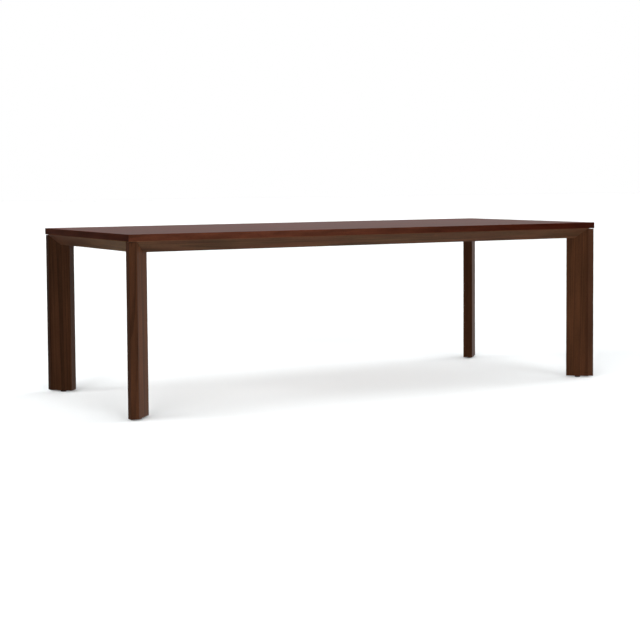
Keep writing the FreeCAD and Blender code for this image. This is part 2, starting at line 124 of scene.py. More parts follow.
# Lippings and face veneer of the top: hardwood, stained red-brown and sprayed with satin lacquer.
# The lippings are mitred strips glued round the core, and the veneer's leaves lie side by side over both.
def stained_wood(name, shades, heart, turn, ring, painted_light_tone=1.0, lacquer=0.05, gloss=(0.36, 0.5),
                 leaf=None, painted_shade=None):
    """Stained and lacquered wood, cut from a log with its heart through a point, turned by degrees from X.

    Ring is the width of a year's growth, tone lightens or darkens the stain as painted light and shade,
    lacquer is how much it mirrors, gloss the roughness from dark to light figure, and leaf the width of a
    leaf of veneer. The last argument paints shade: an axis of the log, where the painted shade, darker and
    redder, begins on it and where it is full.
    """
    fibre_width = 0.0012
    # Real pores are about 0.2 mm wide, and are drawn twice as wide so that a close view shows them
    pore_width = 0.0004
    cloud_width = 6 * ring
    fibre_stretch = 30
    cloud_stretch = 10
    grain_depth = 0.00003
    finish, surface, place = new_finish(name)
    stains = {shade: [painted_light_tone * share for share in linear(colour)[:3]] + [1]
              for shade, colour in shades.items()}
    if leaf:
        # Each leaf of veneer is shifted along and through the log, so that its figure differs from the next
        leaf_shift = 3.0
        leaf_rise = 0.05
        parts = add_node(finish, "ShaderNodeSeparateXYZ", {"Vector": place}).outputs
        share = add_node(finish, "ShaderNodeMath", {0: parts["Y"], 1: leaf}, operation="DIVIDE").outputs[0]
        number = add_node(finish, "ShaderNodeMath", {0: share}, operation="ROUND").outputs[0]
        within = add_node(finish, "ShaderNodeMath", {0: share, 1: number}, operation="SUBTRACT").outputs[0]
        across = add_node(finish, "ShaderNodeMath", {0: within, 1: leaf}, operation="MULTIPLY").outputs[0]
        draw = add_node(finish, "ShaderNodeTexWhiteNoise", {"W": number},
                        noise_dimensions="1D").outputs["Value"]
        along = add_node(finish, "ShaderNodeMath", {0: draw, 1: leaf_shift, 2: parts["X"]},
                         operation="MULTIPLY_ADD").outputs[0]
        depth = add_node(finish, "ShaderNodeMath", {0: draw, 1: leaf_rise, 2: parts["Z"]},
                         operation="MULTIPLY_ADD").outputs[0]
        place = add_node(finish, "ShaderNodeCombineXYZ", {"X": along, "Y": across, "Z": depth}).outputs[0]
    log = add_node(finish, "ShaderNodeMapping",
                   {"Vector": place, "Location": heart, "Rotation": [math.radians(angle) for angle in turn]},
                   vector_type="TEXTURE").outputs[0]
    drawn_out = add_node(finish, "ShaderNodeMapping",
                         {"Vector": log, "Scale": (1 / fibre_stretch, 1, 1)}).outputs[0]
    patches = add_node(finish, "ShaderNodeMapping",
                       {"Vector": log, "Scale": (1 / cloud_stretch, 1, 1)}).outputs[0]
    clouds = add_node(finish, "ShaderNodeTexNoise",
                      {"Vector": patches, "Scale": 1 / cloud_width, "Detail": 2}).outputs
    hue_cloud = add_node(finish, "ShaderNodeSeparateColor", {"Color": clouds["Color"]}).outputs["Green"]
    # At a scale of 1 the wave's rings are this far apart
    wave_period = 2 * math.pi / 20
    rings = add_node(finish, "ShaderNodeTexWave",
                     {"Vector": drawn_out, "Scale": wave_period / ring, "Distortion": 5, "Detail": 2,
                      "Detail Scale": 0.3},
                     wave_type="RINGS", rings_direction="X", wave_profile="SAW").outputs["Fac"]
    late_wood = add_node(finish, "ShaderNodeMath", {0: rings, 1: 3}, operation="POWER").outputs[0]
    early_wood = add_node(finish, "ShaderNodeMath", {0: 1, 1: late_wood}, operation="SUBTRACT").outputs[0]
    fibres = add_node(finish, "ShaderNodeTexNoise",
                      {"Vector": drawn_out, "Scale": 1 / fibre_width, "Detail": 3,
                       "Roughness": 0.6}).outputs["Fac"]
    pore_noise = add_node(finish, "ShaderNodeTexNoise",
                          {"Vector": drawn_out, "Scale": 1 / pore_width, "Detail": 0}).outputs["Fac"]
    pores = add_node(finish, "ShaderNodeMapRange",
                     {"Value": pore_noise, "From Min": 0.62, "From Max": 0.72}).outputs[0]
    grain = add_node(finish, "ShaderNodeMix", {"Factor": 0.45, 2: fibres, 3: early_wood}).outputs[0]
    figure = add_node(finish, "ShaderNodeMix", {"Factor": 0.5, 2: grain, 3: clouds["Fac"]}).outputs[0]
    if leaf:
        leaf_lightness = 0.12
        figure = add_node(finish, "ShaderNodeMath", {0: draw, 1: leaf_lightness, 2: figure},
                          operation="MULTIPLY_ADD").outputs[0]
    hue = add_node(finish, "ShaderNodeMapRange",
                   {"Value": hue_cloud, "From Min": 0.38, "From Max": 0.62}).outputs[0]
    if painted_shade:
        # Painted shade: the stain turns darker and redder along one axis of the bar, towards one end or one
        # side
        axis, shade_begins, shade_full = painted_shade
        along_painted_shade = add_node(finish, "ShaderNodeSeparateXYZ", {"Vector": log}).outputs[axis]
        painted_shade_share = add_node(finish, "ShaderNodeMapRange",
                             {"Value": along_painted_shade, "From Min": shade_begins,
                              "From Max": shade_full}).outputs[0]
        hue = add_node(finish, "ShaderNodeMix", {"Factor": 0.9, 2: hue, 3: painted_shade_share}).outputs[0]
    contrast = add_node(finish, "ShaderNodeMapRange",
                        {"Value": figure, "From Min": 0.42, "From Max": 0.7}).outputs[0]
    brown = add_node(finish, "ShaderNodeMix",
                     {"Factor": contrast, 6: stains["dark_brown"], 7: stains["light_brown"]},
                     data_type="RGBA").outputs[2]
    red = add_node(finish, "ShaderNodeMix",
                   {"Factor": contrast, 6: stains["dark_red"], 7: stains["light_red"]},
                   data_type="RGBA").outputs[2]
    stain = add_node(finish, "ShaderNodeMix", {"Factor": hue, 6: brown, 7: red},
                     data_type="RGBA").outputs[2]
    pore_shade = add_node(finish, "ShaderNodeMath", {0: pores, 1: 0.55}, operation="MULTIPLY").outputs[0]
    colour = add_node(finish, "ShaderNodeMix", {"Factor": pore_shade, 6: stain, 7: stains["pores"]},
                      data_type="RGBA").outputs[2]
    sheen = add_node(finish, "ShaderNodeMapRange",
                     {"Value": figure, "To Min": gloss[0], "To Max": gloss[1]}).outputs[0]
    relief = add_node(finish, "ShaderNodeMath", {0: fibres, 1: pores}, operation="SUBTRACT").outputs[0]
    bump = add_node(finish, "ShaderNodeBump",
                    {"Height": relief, "Strength": 0.3, "Distance": grain_depth}).outputs[0]
    surface.inputs["IOR"].default_value = 1.5
    surface.inputs["Specular IOR Level"].default_value = lacquer
    coat(finish, surface, {"Base Color": colour, "Roughness": sheen, "Normal": bump})
    return finish


# Lacquered red veneer: crown-cut leaves of changing figure, under a low sheen that is sharper on dark rings
face_shades = {"dark_brown": "#42241C", "light_brown": "#663B2E",
               "dark_red": "#461F16", "light_red": "#6D3326", "pores": "#30160F"}
face_leaf = 0.17
face_ring = 0.007
face_turn = (0, 0.8, 0)
top_height = cad_box[1].z
face_heart = (0, 0, top_height - 0.09)
dress(stained_wood("lacquered_red_veneer", face_shades, face_heart, face_turn, face_ring, leaf=face_leaf),
      "top_face_veneer")

# Lacquered red lippings: straight grain along each strip, browner at one end and a deep red at the other.
# The deep red end is painted shade, and the back, right and left strips are painted darker, the left most.
lipping_shades = {"dark_brown": "#3A1E13", "light_brown": "#5E3323",
                  "dark_red": "#210601", "light_red": "#380F03", "pores": "#220D06"}
lipping_ring = 0.0035
lipping_lacquer = 0.02
# Each strip's turn, its tone of painted shade, and where its painted shade begins and where it is full,
# in shares of its half length
lipping_cuts = {"front": (0, 1.0, -0.25, 0.65), "back": (180, 0.9, -0.25, 0.65),
                "left": (90, 0.79, 2.7, -2.4), "right": (270, 0.85, -0.25, 0.65)}
for side, (turn, painted_light_tone, unshaded_until, fully_shaded_from) in lipping_cuts.items():
    low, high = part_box(f"top_lipping_{side}")
    middle = (low + high) / 2
    half_length = max(high.x - low.x, high.y - low.y) / 2
    lipping_heart = (middle.x * 1.02, middle.y * 1.05, middle.z - 0.05)
    lipping_turn = (0, 0.7, turn + 0.5)
    finish = stained_wood(f"lacquered_red_lipping_{side}", lipping_shades, lipping_heart, lipping_turn,
                          lipping_ring, painted_light_tone, lipping_lacquer,
                          painted_shade=("X", unshaded_until * half_length, fully_shaded_from * half_length))
    dress(finish, f"top_lipping_{side}")

# Backing veneer: a sheet glued under the core to balance the face veneer.
# It got a thin coat of the same stain and no lacquer, so it is duller and paler than the face.
backing_shades = {"dark_brown": "#4E3726", "light_brown": "#694C36",
                  "dark_red": "#523423", "light_red": "#6E4731", "pores": "#342216"}
backing_leaf = 0.26
backing_ring = 0.005
backing_turn = (0, 0.6, 0)
backing_heart = (0, 0, top_height - 0.14)
backing_gloss = (0.6, 0.75)
dress(stained_wood("stained_backing_veneer", backing_shades, backing_heart, backing_turn, backing_ring,
                   gloss=backing_gloss, leaf=backing_leaf),
      "top_backing_veneer")

# Aprons: solid hardwood, stained walnut brown and lacquered, hung under the top on all four sides.
# Each was sawn as a bar, undercut at 45 degrees below a narrow land, and mitred to the legs' sides.
long_shades = {"dark_brown": "#392719", "light_brown": "#533A27",
               "dark_red": "#3C2518", "light_red": "#573826", "pores": "#27180E"}
# The end aprons' stain: a brown painted lighter than the long aprons' as painted light, and a darker red for
# painted shade
end_stains_lit_and_shaded = {"dark_brown": "#4B3724", "light_brown": "#6C5136",
              "dark_red": "#372117", "light_red": "#513225", "pores": "#2C1D12"}
apron_ring = 0.0042
for side, turn in (("front", 0), ("back", 180), ("left", 90), ("right", 270)):
    low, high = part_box(f"apron_{side}")
    middle = (low + high) / 2
    apron_heart = (middle.x * 0.96, middle.y * 0.9, middle.z + 0.03)
    apron_turn = (0, 0.9, turn + 0.4)
    # The end aprons get a painted shade, darker and redder from one end to the other, and the long ones are
    # even
    if side in ("left", "right"):
        half_length = (high.y - low.y) / 2
        apron_shades, painted_end_shade = end_stains_lit_and_shaded, ("X", -half_length, half_length)
    else:
        apron_shades, painted_end_shade = long_shades, None
    finish = stained_wood(f"lacquered_walnut_apron_{side}", apron_shades, apron_heart, apron_turn,
                          apron_ring, painted_shade=painted_end_shade)
    dress(finish, f"apron_{side}")


# Cross rails: bars of beech, planed and left bare, which hold the long aprons together and the top flat.
# Each end butts against an apron on two dowels.
def bare_wood(name, turn):
    """Planed beech with its grain along X, turned by degrees: pale and dull, with short dark flecks."""
    band_width = 0.012
    fibre_width = 0.0008
    fleck_width = 0.0007
    grain_stretch = 25
    fleck_stretch = 6
    grain_depth = 0.00005
    finish, surface, place = new_finish(name)
    bar = add_node(finish, "ShaderNodeMapping",
                   {"Vector": place, "Rotation": [math.radians(angle) for angle in turn]},
                   vector_type="TEXTURE").outputs[0]
    drawn_out = add_node(finish, "ShaderNodeMapping",
                         {"Vector": bar, "Scale": (1 / grain_stretch, 1, 1)}).outputs[0]
    bands = add_node(finish, "ShaderNodeTexNoise",
                     {"Vector": drawn_out, "Scale": 1 / band_width, "Detail": 3}).outputs["Fac"]
    fibres = add_node(finish, "ShaderNodeTexNoise",
                      {"Vector": drawn_out, "Scale": 1 / fibre_width, "Detail": 2}).outputs["Fac"]
    short = add_node(finish, "ShaderNodeMapping",
                     {"Vector": bar, "Scale": (1 / fleck_stretch, 1, 1)}).outputs[0]
    fleck_noise = add_node(finish, "ShaderNodeTexNoise",
                           {"Vector": short, "Scale": 1 / fleck_width, "Detail": 0}).outputs["Fac"]
    flecks = add_node(finish, "ShaderNodeMapRange",
                      {"Value": fleck_noise, "From Min": 0.64, "From Max": 0.7, "To Max": 0.7}).outputs[0]
    figure = add_node(finish, "ShaderNodeMix", {"Factor": 0.45, 2: bands, 3: fibres}).outputs[0]
    contrast = add_node(finish, "ShaderNodeMapRange",
                        {"Value": figure, "From Min": 0.3, "From Max": 0.7}).outputs[0]
    pale = add_node(finish, "ShaderNodeMix",
                    {"Factor": contrast, 6: linear("#A9784D"), 7: linear("#CBA075")},
                    data_type="RGBA").outputs[2]
    colour = add_node(finish, "ShaderNodeMix", {"Factor": flecks, 6: pale, 7: linear("#7E5230")},
                      data_type="RGBA").outputs[2]
    dullness = add_node(finish, "ShaderNodeMapRange",
                        {"Value": fibres, "To Min": 0.62, "To Max": 0.8}).outputs[0]
    bump = add_node(finish, "ShaderNodeBump",
                    {"Height": fibres, "Strength": 0.4, "Distance": grain_depth}).outputs[0]
    coat(finish, surface, {"Base Color": colour, "Roughness": dullness, "Normal": bump})
    return finish


across_table = (0, 0, 90)
dress(bare_wood("planed_beech_rails", across_table),
      "cross_rail_left", "cross_rail_middle", "cross_rail_right")


# Dowels: fluted beech pins, chamfered at both ends, two in each end of a cross rail.
# They are cut from rod, pressed with flutes for the glue, and go as deep into the apron as into the rail.
same_point = 1e-6


def solid_boxes(name):
    """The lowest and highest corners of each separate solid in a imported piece, always in the same order."""
    shell = bmesh.new()
    shell.from_mesh(nodes[name].data)
    bmesh.ops.remove_doubles(shell, verts=shell.verts, dist=same_point)
    shell.verts.index_update()
    shell.verts.ensure_lookup_table()
    unseen = set(range(len(shell.verts)))
    boxes = []
    while unseen:
        island = [min(unseen)]
        unseen.remove(island[0])
        for index in island:
            for edge in shell.verts[index].link_edges:
                other = edge.other_vert(shell.verts[index]).index
                if other in unseen:
                    unseen.remove(other)
                    island.append(other)
        points = [shell.verts[index].co for index in island]
        boxes.append((Vector([min(point[axis] for point in points) for axis in range(3)]),
                      Vector([max(point[axis] for point in points) for axis in range(3)])))
    shell.free()
    return boxes


def pick(kind, wanted):
    """In edit mode, selects only those faces or edges of the piece in hand that are wanted."""
    bpy.ops.mesh.select_mode(type="FACE" if kind == "faces" else "EDGE")
    bpy.ops.mesh.select_all(action="DESELECT")
    shell = bmesh.from_edit_mesh(bpy.context.object.data)
    for part in getattr(shell, kind):
        part.select_set(wanted(part))
    bmesh.update_edit_mesh(bpy.context.object.data)


def copy_of(model):
    """A copy of a modelled piece with its own mesh, and nothing else selected."""
    bpy.ops.object.select_all(action="DESELECT")
    model.select_set(True)
    bpy.context.view_layer.objects.active = model
    bpy.ops.object.duplicate()
    return bpy.context.object


def fix_copies(model, name, places, finish):
    """Copies a modelled piece to each place, makes the copies one piece, and gives it its finish."""
    sharp_edge = math.radians(35)
    copies = []
    for place in places:
        copy = copy_of(model)
        copy.matrix_world = place
        bpy.ops.object.transform_apply()
        copies.append(copy)
    bpy.data.objects.remove(model)
    for copy in copies:
        copy.select_set(True)
    if len(copies) > 1:
        bpy.ops.object.join()
    piece = bpy.context.object
    piece.name = name
    piece.data.name = name
    piece.data.materials.clear()
    piece.data.materials.append(finish)
    bpy.ops.object.shade_smooth_by_angle(angle=sharp_edge)
    return piece


dowel_sides = 48
dowel_chamfer = 0.001
flute_depth = 0.0004
flute_edge = 0.00012
dowel_boxes = solid_boxes("rail_dowels")
low, high = dowel_boxes[0]
bpy.ops.object.select_all(action="DESELECT")
bpy.ops.mesh.primitive_cylinder_add(vertices=dowel_sides, radius=(high.z - low.z) / 2, depth=high.y - low.y)
bpy.ops.object.mode_set(mode="EDIT")
pick("faces", lambda face: abs(face.normal.z) > 0.9)
bpy.ops.mesh.bevel(offset=dowel_chamfer, affect="EDGES")


def is_flute(face):
    """True for every third of the dowel's long side faces."""
    middle = face.calc_center_median()
    number = round(math.atan2(middle.y, middle.x) / math.tau * dowel_sides - 0.5)
    return abs(face.normal.z) < 0.1 and number % 3 == 0


pick("faces", is_flute)
bpy.ops.mesh.inset(thickness=flute_edge, depth=-flute_depth, use_individual=True)
bpy.ops.object.mode_set(mode="OBJECT")
lying = Matrix.Rotation(math.pi / 2, 4, "X")
dowels = fix_copies(bpy.context.object, "fluted_dowels",
                    [Matrix.Translation((low + high) / 2) @ lying for low, high in dowel_boxes],
                    bare_wood("turned_beech_dowels", across_table))
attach(dowels, "table")
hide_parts("rail_dowels")

# Corner blocks: pieces of beech, sawn to fit across each corner between two aprons and left bare.
# A leg's bolts pull its inner end against the block, and two screws hold the block to the top.
corners = {"front_left": (-1, -1), "front_right": (1, -1), "back_right": (1, 1), "back_left": (-1, 1)}
for corner, (out_x, out_y) in corners.items():
    block_turn = math.degrees(math.atan2(out_y, out_x)) + 90
    dress(bare_wood(f"sawn_beech_block_{corner}", (0, 0, block_turn)), f"corner_block_{corner}")


# Screws into the top: pan-headed wood screws of zinc-plated steel with a cross recess in the head.
# They are driven up through the aprons, rails and blocks, with the heads sunk in round recesses.
def turned_piece(steps, sides=32):
    """A closed piece turned about Z, from its first step to its last; each step is a radius and a height."""
    radius, height = steps[0]
    bpy.ops.object.select_all(action="DESELECT")
    bpy.ops.mesh.primitive_circle_add(vertices=sides, radius=radius, fill_type="NGON",
                                      location=(0, 0, height))
    bpy.ops.object.transform_apply()
    bpy.ops.object.mode_set(mode="EDIT")
    bpy.ops.mesh.select_mode(type="FACE")
    bpy.ops.mesh.select_all(action="SELECT")
    for next_radius, next_height in steps[1:]:
        bpy.ops.mesh.extrude_region_move(TRANSFORM_OT_translate={"value": (0, 0, next_height - height)})
        if next_radius:
            share = next_radius / radius
            bpy.ops.transform.resize(value=(share, share, 1), center_override=(0, 0, next_height))
        else:
            bpy.ops.mesh.merge(type="CENTER")
        radius, height = next_radius, next_height
    bpy.ops.mesh.select_all(action="SELECT")
    bpy.ops.mesh.normals_make_consistent(inside=False)
    bpy.ops.object.mode_set(mode="OBJECT")
    return bpy.context.object


def threaded_rod(root, crest, pitch, low, high, steps=16):
    """A rod about Z with a right-hand thread, cut flat at both heights."""
    start = (math.floor(low / pitch) - 2) * pitch
    bpy.ops.object.select_all(action="DESELECT")
    bpy.ops.mesh.primitive_plane_add(size=pitch)
    rod = bpy.context.object
    bpy.ops.object.mode_set(mode="EDIT")
    bpy.ops.mesh.select_mode(type="VERT")
    bpy.ops.mesh.select_all(action="SELECT")
    bpy.ops.mesh.merge(type="CENTER")
    bpy.ops.transform.translate(value=(root, 0, start))
    # The outline of one turn: out along a flank, up the crest, in along the other flank, up the root
    for outwards, upwards in ((crest - root, 0.4), (0, 0.1), (root - crest, 0.4), (0, 0.1)):
        bpy.ops.mesh.extrude_vertices_move(TRANSFORM_OT_translate={"value": (outwards, 0, upwards * pitch)})
    bpy.ops.object.mode_set(mode="OBJECT")
    thread = rod.modifiers.new("thread", "SCREW")
    thread.axis = "Z"
    thread.screw_offset = pitch
    thread.iterations = math.ceil((high - start) / pitch) + 2
    thread.steps = steps
    thread.render_steps = steps
    bpy.ops.object.modifier_apply(modifier=thread.name)
    bpy.ops.object.mode_set(mode="EDIT")
    bpy.ops.mesh.select_all(action="SELECT")
    bpy.ops.mesh.remove_doubles(threshold=same_point)
    for height, upwards in ((low, -1), (high, 1)):
        bpy.ops.mesh.select_all(action="SELECT")
        bpy.ops.mesh.bisect(plane_co=(0, 0, height), plane_no=(0, 0, upwards), use_fill=True,
                            clear_outer=True, threshold=1e-7)
    bpy.ops.mesh.select_all(action="SELECT")
    bpy.ops.mesh.normals_make_consistent(inside=False)
    bpy.ops.object.mode_set(mode="OBJECT")
    return rod


def work(piece, operation, tool):
    """Joins a tool to a piece, cuts the piece with it, or keeps only what both fill."""
    joint = piece.modifiers.new("joint", "BOOLEAN")
    joint.operation = operation
    joint.object = tool
    joint.solver = "EXACT"
    bpy.context.view_layer.objects.active = piece
    bpy.ops.object.modifier_apply(modifier=joint.name)
    bpy.data.objects.remove(tool)
    return piece


# Zinc-plated steel: a bluish bright metal, with faint clouds from the bath and fine rubbing marks
zinc, surface, place = new_finish("bright_zinc_plating")
cloud_width = 0.004
rub_width = 0.0005
rub_depth = 0.00002
bath_clouds = add_node(zinc, "ShaderNodeTexNoise",
                       {"Vector": place, "Scale": 1 / cloud_width, "Detail": 3}).outputs["Fac"]
rubbing = add_node(zinc, "ShaderNodeTexNoise",
                   {"Vector": place, "Scale": 1 / rub_width, "Detail": 4}).outputs["Fac"]
plating = add_node(zinc, "ShaderNodeMix",
                   {"Factor": bath_clouds, 6: linear("#A4A9AE"), 7: linear("#CBCCC6")},
                   data_type="RGBA").outputs[2]
plating_sheen = add_node(zinc, "ShaderNodeMapRange",
                         {"Value": rubbing, "To Min": 0.22, "To Max": 0.42}).outputs[0]
plating_relief = add_node(zinc, "ShaderNodeBump",
                          {"Height": rubbing, "Strength": 0.3, "Distance": rub_depth}).outputs[0]
surface.inputs["Metallic"].default_value = 1
coat(zinc, surface, {"Base Color": plating, "Roughness": plating_sheen, "Normal": plating_relief})

screw_boxes = solid_boxes("top_screws")
low, high = screw_boxes[0]
head_radius = (high.x - low.x) / 2
head_height = 0.003
screw_length = high.z - low.z
shank_radius = 0.00225
smooth_shank = 0.013
screw = turned_piece([(0.58 * head_radius, 0), (0.82 * head_radius, 0.08 * head_height),
                      (0.95 * head_radius, 0.28 * head_height), (head_radius, 0.6 * head_height),
                      (head_radius, head_height), (0.85 * shank_radius, head_height),
                      (0.85 * shank_radius, smooth_shank), (0.5 * shank_radius, smooth_shank + 0.0013)])
recess_size = (0.0046, 0.0009, 0.0024)
recess_middle = 0.0006
recess_floor = 0.0018
recess_taper = 0.6
for recess_turn in (0, math.pi / 2):
    bpy.ops.object.select_all(action="DESELECT")
    bpy.ops.mesh.primitive_cube_add(size=1, scale=recess_size, location=(0, 0, recess_middle),
                                    rotation=(0, 0, recess_turn))
    recess_bar = bpy.context.object
    bpy.ops.object.transform_apply()
    bpy.ops.object.mode_set(mode="EDIT")
    pick("faces", lambda face: face.normal.z > 0.9)
    bpy.ops.transform.resize(value=(recess_taper, recess_taper, 1), center_override=(0, 0, recess_floor))
    bpy.ops.object.mode_set(mode="OBJECT")
    screw = work(screw, "DIFFERENCE", recess_bar)
screw_pitch = 0.0022
point_length = 0.006
thread = threaded_rod(0.64 * shank_radius, 0.98 * shank_radius, screw_pitch, smooth_shank - 0.001,
                      screw_length + 0.001, steps=12)
point = turned_piece([(0.55 * shank_radius, smooth_shank - 0.0007), (shank_radius, smooth_shank + 0.0016),
                      (shank_radius, screw_length - point_length), (0, screw_length)])
screw = work(screw, "UNION", work(thread, "INTERSECT", point))
screws = fix_copies(screw, "pan_head_screws",
                    [Matrix.Translation(((low.x + high.x) / 2, (low.y + high.y) / 2, low.z))
                     for low, high in screw_boxes], zinc)
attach(screws, "table")
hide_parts("top_screws")

# Legs: blades of solid hardwood, set on the diagonals of the corners and stained as the aprons are.
# Each stands upright in the log's grain. A painted shade darkens its outer arris, and the front legs are
# painted lighter than the back ones, as painted light and shade.
leg_shades = {"dark_brown": "#341E10", "light_brown": "#4A2C1A",
              "dark_red": "#2B170B", "light_red": "#3D2314", "pores": "#1E0F06"}
# Painted light and shade: the front legs' stain is lightened and the back legs' darkened
leg_light_and_shade_tones = {"front_left": 1.33, "front_right": 1.34, "back_right": 0.95, "back_left": 0.86}
leg_ring = 0.0045
heart_distance = 0.07
# Painted shade along each leg's outer arris, darker and redder
painted_tip_shade = ("Z", -0.037, -0.05)
for corner, (out_x, out_y) in corners.items():
    low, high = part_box(f"leg_{corner}")
    middle = (low + high) / 2
    leg_heart = middle + heart_distance * Vector((out_y, -out_x, 0)).normalized()
    leg_turn = (0, -89, math.degrees(math.atan2(out_y, out_x)))
    finish = stained_wood(f"lacquered_walnut_leg_{corner}", leg_shades, leg_heart, leg_turn, leg_ring,
                          leg_light_and_shade_tones[corner], painted_shade=painted_tip_shade)
    dress(finish, f"leg_{corner}")

# Hanger bolts: zinc-plated steel rods, two in each leg, with a wood thread and a machine thread.
# The wood thread bites in the leg's inner end, and the machine thread comes out through the corner block.
bolt_radius = 0.004
machine_root = 0.0033
machine_pitch = 0.00125
wood_pitch = 0.003
wood_end = 0.042
machine_start = 0.051
bolt_places = []
for low, high in solid_boxes("hanger_bolts"):
    middle = (low + high) / 2
    inwards = Vector((-math.copysign(1, middle.x), -math.copysign(1, middle.y), 0)).normalized()
    bolt_length = math.hypot(high.x - low.x, high.y - low.y) - 2 * bolt_radius
    bolt_places.append(Matrix.Translation(middle - inwards * bolt_length / 2)
                       @ inwards.to_track_quat("Z", "Y").to_matrix().to_4x4())
bolt = turned_piece([(0.65 * bolt_radius, wood_end - 0.005), (0.97 * bolt_radius, wood_end),
                     (0.97 * bolt_radius, machine_start), (0.75 * bolt_radius, machine_start + 0.0012)])
wood_thread = threaded_rod(0.7 * bolt_radius, 0.98 * bolt_radius, wood_pitch, -0.0005, wood_end)
wood_point = turned_piece([(0.3 * bolt_radius, 0), (bolt_radius, 0.007), (bolt_radius, wood_end - 0.001),
                           (0.6 * bolt_radius, wood_end + 0.001)])
bolt = work(bolt, "UNION", work(wood_thread, "INTERSECT", wood_point))
machine_thread = threaded_rod(machine_root, bolt_radius, machine_pitch, machine_start - 0.0005,
                              bolt_length + 0.001)
machine_end = turned_piece([(0.8 * bolt_radius, machine_start - 0.0004),
                            (1.01 * bolt_radius, machine_start + 0.0006),
                            (1.01 * bolt_radius, bolt_length - 0.001), (0.8 * bolt_radius, bolt_length)])
bolt = work(bolt, "UNION", work(machine_thread, "INTERSECT", machine_end))
bolts = fix_copies(bolt, "threaded_hanger_bolts", bolt_places, zinc)
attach(bolts, "table")
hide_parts("hanger_bolts")

# Washers: punched zinc-plated rings under the bolts' nuts, with edges rounded by tumbling.
# Each lies on a corner block's inner face.
leg_bite = 0.045
block_depth = 0.042
washer_foot = leg_bite + block_depth
washer_thickness = 0.0016
washer_bore = 0.0042
washer_radius = 0.008
tumbled_edge = 0.0002
widening = washer_radius / washer_bore
bpy.ops.object.select_all(action="DESELECT")
bpy.ops.mesh.primitive_circle_add(vertices=48, radius=washer_bore, location=(0, 0, washer_foot))
washer = bpy.context.object
bpy.ops.object.transform_apply()
bpy.ops.object.mode_set(mode="EDIT")
bpy.ops.mesh.select_all(action="SELECT")
bpy.ops.mesh.extrude_edges_move(TRANSFORM_OT_translate={"value": (0, 0, 0)})
bpy.ops.transform.resize(value=(widening, widening, 1), center_override=(0, 0, washer_foot))
bpy.ops.mesh.select_all(action="SELECT")
bpy.ops.mesh.normals_make_consistent(inside=False)
bpy.ops.object.mode_set(mode="OBJECT")
wall = washer.modifiers.new("thickness", "SOLIDIFY")
wall.thickness = washer_thickness
wall.offset = 1 if washer.data.polygons[0].normal.z > 0 else -1
wall.use_even_offset = True
rounding = washer.modifiers.new("tumbled_edges", "BEVEL")
rounding.width = tumbled_edge
rounding.segments = 2
for modifier in (wall, rounding):
    bpy.ops.object.modifier_apply(modifier=modifier.name)
washers = fix_copies(washer, "punched_washers", bolt_places, zinc)
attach(washers, "table")
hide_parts("bolt_washers")

# Nuts: zinc-plated hexagon nuts, chamfered on both faces, with the bolts' own machine thread inside.
# Tightened on a washer, they draw the leg against its corner block.
nut_flats = 0.013
nut_height = 0.0065
nut_chamfer = 0.0008
nut_countersink = 0.001
nut_foot = washer_foot + washer_thickness
nut_top = nut_foot + nut_height
nut_middle = nut_foot + nut_height / 2
nut_corner = nut_flats / 2 / math.cos(math.pi / 6)
bpy.ops.object.select_all(action="DESELECT")
bpy.ops.mesh.primitive_cylinder_add(vertices=6, radius=nut_corner, depth=nut_height,
                                    location=(0, 0, nut_middle), rotation=(0, 0, math.pi / 6))
nut = bpy.context.object
bpy.ops.object.transform_apply()
chamfers = turned_piece([(0.95 * nut_flats / 2, nut_foot), (1.01 * nut_corner, nut_foot + nut_chamfer),
                         (1.01 * nut_corner, nut_top - nut_chamfer), (0.95 * nut_flats / 2, nut_top)],
                        sides=50)
nut = work(nut, "INTERSECT", chamfers)
countersinks = turned_piece([(1.2 * bolt_radius, nut_foot - 0.0002),
                             (0.8 * bolt_radius, nut_foot + nut_countersink),
                             (0.8 * bolt_radius, nut_top - nut_countersink),
                             (1.2 * bolt_radius, nut_top + 0.0002)])
nut = work(nut, "DIFFERENCE", countersinks)
thread_clearance = 0.00005
tap = threaded_rod(machine_root + thread_clearance, bolt_radius + thread_clearance, machine_pitch,
                   nut_foot - 0.001, nut_top + 0.001)
nut = work(nut, "DIFFERENCE", tap)
nuts = fix_copies(nut, "hexagon_nuts", bolt_places, zinc)
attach(nuts, "table")
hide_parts("bolt_nuts")

# Glide inserts: flanged sleeves of zinc-plated steel, screwed up into the legs' lower ends by a socket.
# Each has a coarse thread outside for the wood and a machine thread inside for the glide's stem.
insert_boxes = solid_boxes("glide_inserts")
glide_places = [Matrix.Translation(((low.x + high.x) / 2, (low.y + high.y) / 2, 0))
                for low, high in insert_boxes]
low, high = insert_boxes[0]
flange_radius = (high.x - low.x) / 2
flange_top = low.z + 0.0015
flange_edge = 0.0003
sleeve_radius = 0.006
sleeve_taper = 0.003
insert_pitch = 0.0025
insert = turned_piece([(flange_radius - flange_edge, low.z), (flange_radius, low.z + flange_edge),
                       (flange_radius, flange_top - flange_edge), (flange_radius - flange_edge, flange_top),
                       (0.78 * sleeve_radius, flange_top), (0.78 * sleeve_radius, high.z - 0.0005)],
                      sides=50)
coarse_thread = threaded_rod(0.83 * sleeve_radius, 0.99 * sleeve_radius, insert_pitch, flange_top - 0.0005,
                             high.z + 0.0005, steps=24)
sleeve = turned_piece([(sleeve_radius, flange_top - 0.0004), (sleeve_radius, high.z - sleeve_taper),
                       (0.8 * sleeve_radius, high.z)], sides=50)
insert = work(insert, "UNION", work(coarse_thread, "INTERSECT", sleeve))
tap = threaded_rod(machine_root + thread_clearance, bolt_radius + thread_clearance, machine_pitch,
                   low.z - 0.001, high.z + 0.001)
insert = work(insert, "DIFFERENCE", tap)
socket_depth = 0.004
socket_flats = 0.0083
socket_turn = 0.17
bpy.ops.object.select_all(action="DESELECT")
